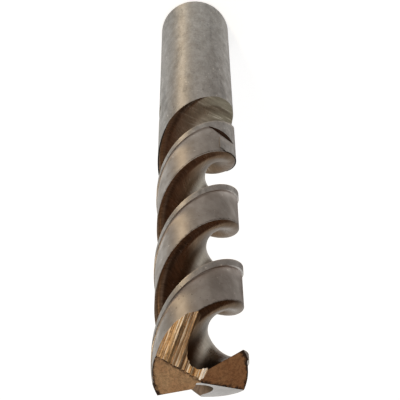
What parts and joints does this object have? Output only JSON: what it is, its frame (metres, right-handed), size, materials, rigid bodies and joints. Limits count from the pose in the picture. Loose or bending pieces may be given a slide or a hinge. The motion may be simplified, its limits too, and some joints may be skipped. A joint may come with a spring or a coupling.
{
  "type": "twist drill bit",
  "caption": "Straight-shank twist drill with two helical flutes, relieved lands and a split point, standing on its shank end.",
  "frame": {"origin": "centre of the flat end face of the shank, on the drill's axis", "axes": "+Z along the axis from the shank to the point; the two main cutting lips lie parallel to X"},
  "size_m": [0.0124, 0.0124, 0.151],
  "materials": {
    "tool_steel": "satin ground high speed steel, bronze coloured in the flutes and on the point"
  },
  "bodies": {
    "root": {"twist_drill": "tool_steel"}
  },
  "joints": []
}
